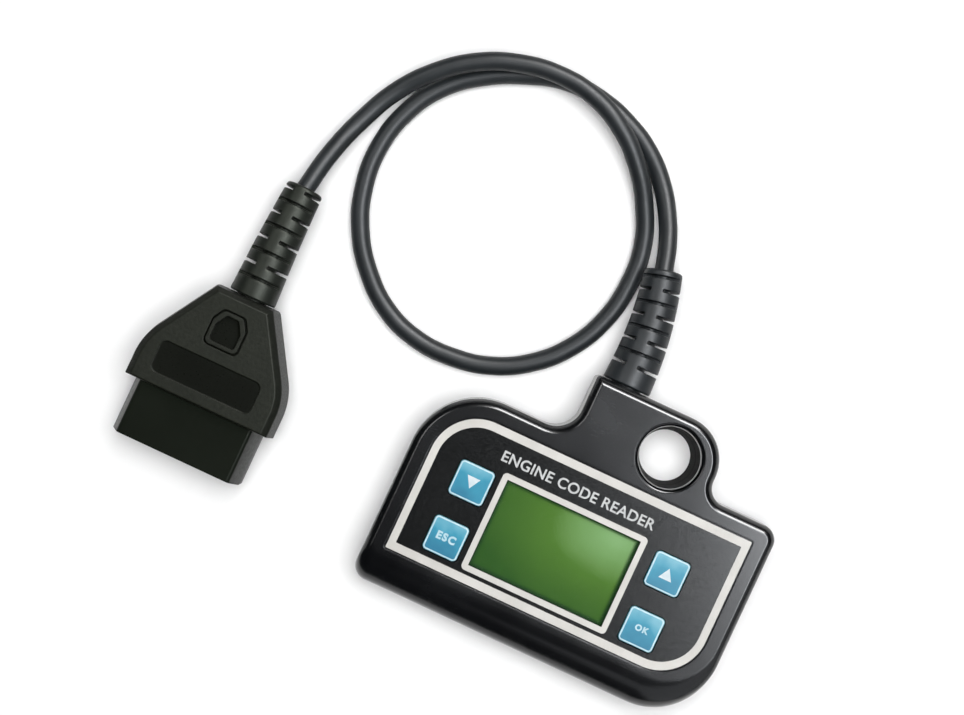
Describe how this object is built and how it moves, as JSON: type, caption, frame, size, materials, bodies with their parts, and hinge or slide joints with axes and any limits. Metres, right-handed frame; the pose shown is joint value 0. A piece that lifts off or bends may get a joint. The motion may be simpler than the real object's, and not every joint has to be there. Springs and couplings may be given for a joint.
{
  "type": "diagnostic code reader",
  "caption": "Handheld vehicle diagnostic code reader: flat black case with a green display, blue keys and a hanging ring, joined by a short cable to a diagnostic plug.",
  "frame": {"origin": "under the middle of the reader, cable and plug left out, on the plane its back rests on", "axes": "+X along the reader's width towards the ring side, +Y towards the cable, +Z out of the face"},
  "size_m": [0.1869, 0.1564, 0.0245],
  "materials": {
    "case_plastic": "glossy injection-moulded black ABS with a faint blue-grey sheen",
    "overlay_film": "semi-matte printed polycarbonate film",
    "key_cap": "satin cyan-blue keys with a pale printed outline and symbol",
    "clear_window": "clear acrylic window",
    "lcd_screen": "yellow-green liquid crystal cell, switched on and blank",
    "backlight_panel": "milky light guide",
    "bright_metal": "plated steel and aluminium cans",
    "circuit_board": "green solder-mask laminate",
    "chip_black": "black moulded component body",
    "connector_nylon": "off-white nylon",
    "cable_rubber": "satin black flexible PVC",
    "plug_plastic": "fine-textured black moulded plastic",
    "contact_gold": "gold-plated contact",
    "wire_red": "red wire insulation",
    "wire_black": "black wire insulation and switch plastic",
    "wire_yellow": "yellow wire insulation",
    "wire_green": "green wire insulation"
  },
  "bodies": {
    "root": {"back_shell": "case_plastic", "front_shell": "case_plastic", "case_screw_1": "bright_metal", "case_screw_2": "bright_metal", "case_screw_3": "bright_metal", "case_screw_4": "bright_metal", "face_overlay": "overlay_film", "tact_switch_down": "chip_black", "tact_switch_escape": "chip_black", "tact_switch_up": "chip_black", "tact_switch_ok": "chip_black", "display_window": "clear_window", "lcd_frame": "wire_black", "lcd_glass": "lcd_screen", "backlight": "backlight_panel", "main_board": "circuit_board", "microcontroller": "chip_black", "interface_chip": "chip_black", "voltage_regulator": "chip_black", "capacitor_1": "bright_metal", "capacitor_2": "bright_metal", "crystal": "bright_metal", "cable_header": "connector_nylon", "header_plug": "connector_nylon", "lead_power": "wire_red", "lead_ground": "wire_black", "lead_can_high": "wire_yellow", "lead_can_low": "wire_green", "reader_strain_relief": "cable_rubber", "plug_strain_relief": "cable_rubber", "cable": "cable_rubber", "plug_upper_cover": "plug_plastic", "plug_lower_cover": "plug_plastic", "plug_insert": "plug_plastic", "contact_2": "contact_gold", "contact_4": "contact_gold", "contact_5": "contact_gold", "contact_6": "contact_gold", "contact_7": "contact_gold", "contact_10": "contact_gold", "contact_14": "contact_gold", "contact_15": "contact_gold", "contact_16": "contact_gold", "plug_lead_power": "wire_red", "plug_lead_ground": "wire_black", "plug_lead_can_high": "wire_yellow", "plug_lead_can_low": "wire_green"},
    "down_key": {"key_down": "key_cap", "switch_stem_down": "wire_black"},
    "escape_key": {"key_escape": "key_cap", "switch_stem_escape": "wire_black"},
    "up_key": {"key_up": "key_cap", "switch_stem_up": "wire_black"},
    "ok_key": {"key_ok": "key_cap", "switch_stem_ok": "wire_black"}
  },
  "joints": [
    {"name": "down_press", "type": "slide", "parent": "root", "child": "down_key", "axis": [0, 0, -1], "range_m": [0, 0.0004], "stiffness_N_per_m": 4000},
    {"name": "escape_press", "type": "slide", "parent": "root", "child": "escape_key", "axis": [0, 0, -1], "range_m": [0, 0.0004], "stiffness_N_per_m": 4000},
    {"name": "up_press", "type": "slide", "parent": "root", "child": "up_key", "axis": [0, 0, -1], "range_m": [0, 0.0004], "stiffness_N_per_m": 4000},
    {"name": "ok_press", "type": "slide", "parent": "root", "child": "ok_key", "axis": [0, 0, -1], "range_m": [0, 0.0004], "stiffness_N_per_m": 4000}
  ]
}
